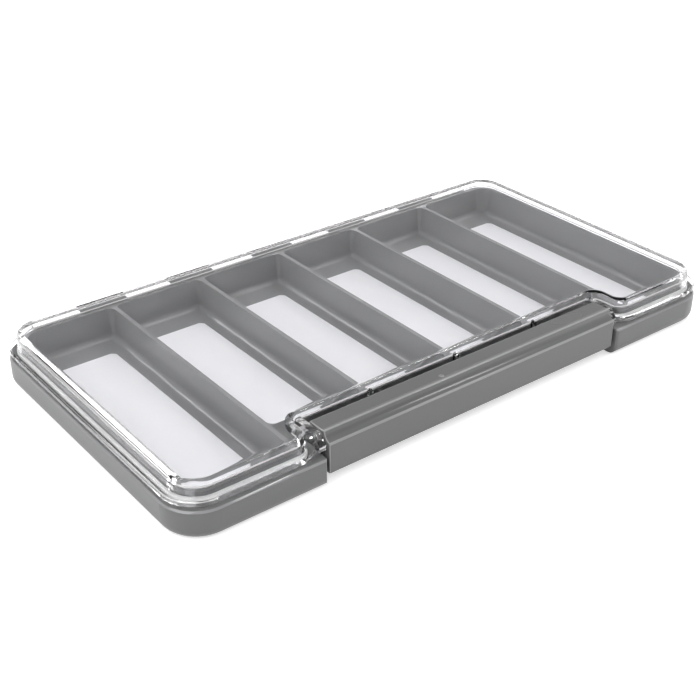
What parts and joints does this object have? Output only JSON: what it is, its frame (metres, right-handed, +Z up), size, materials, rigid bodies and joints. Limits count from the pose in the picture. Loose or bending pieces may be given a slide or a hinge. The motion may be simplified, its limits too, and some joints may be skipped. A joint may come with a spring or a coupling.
{
  "type": "fly box",
  "caption": "Slim fishing fly box: a grey tray with lined bays, a clear hinged lid with a perimeter seal, and a full-width front latch bar.",
  "frame": {"origin": "middle of the tray's footprint, on the surface that the box stands on", "axes": "+X along the box, +Y towards the hinge, the latch faces -Y, +Z up"},
  "size_m": [0.19, 0.1042, 0.016],
  "materials": {
    "tray_plastic": "fine satin moulded",
    "latch_plastic": "fine satin moulded",
    "clear_plastic": "polished clear",
    "silicone": "translucent soft",
    "steel": "drawn wire",
    "liner_white": "smooth sheet"
  },
  "bodies": {
    "base": {"base_tray": "tray_plastic", "hinge_pin": "steel", "rim_seal": "silicone", "liner_1": "liner_white", "liner_2": "liner_white", "liner_3": "liner_white", "liner_4": "liner_white", "liner_5": "liner_white", "liner_6": "liner_white"},
    "lid": {"lid": "clear_plastic"},
    "latch": {"latch_bar": "latch_plastic"}
  },
  "joints": [
    {"name": "lid_hinge", "type": "hinge", "parent": "base", "child": "lid", "pos_m": [0, 0.0512, 0.0094], "axis": [-1, 0, 0], "range_deg": [0, 180]},
    {"name": "latch_pivot", "type": "hinge", "parent": "lid", "child": "latch", "pos_m": [0, -0.046, 0.0125], "axis": [-1, 0, 0], "range_deg": [0, 100]}
  ]
}
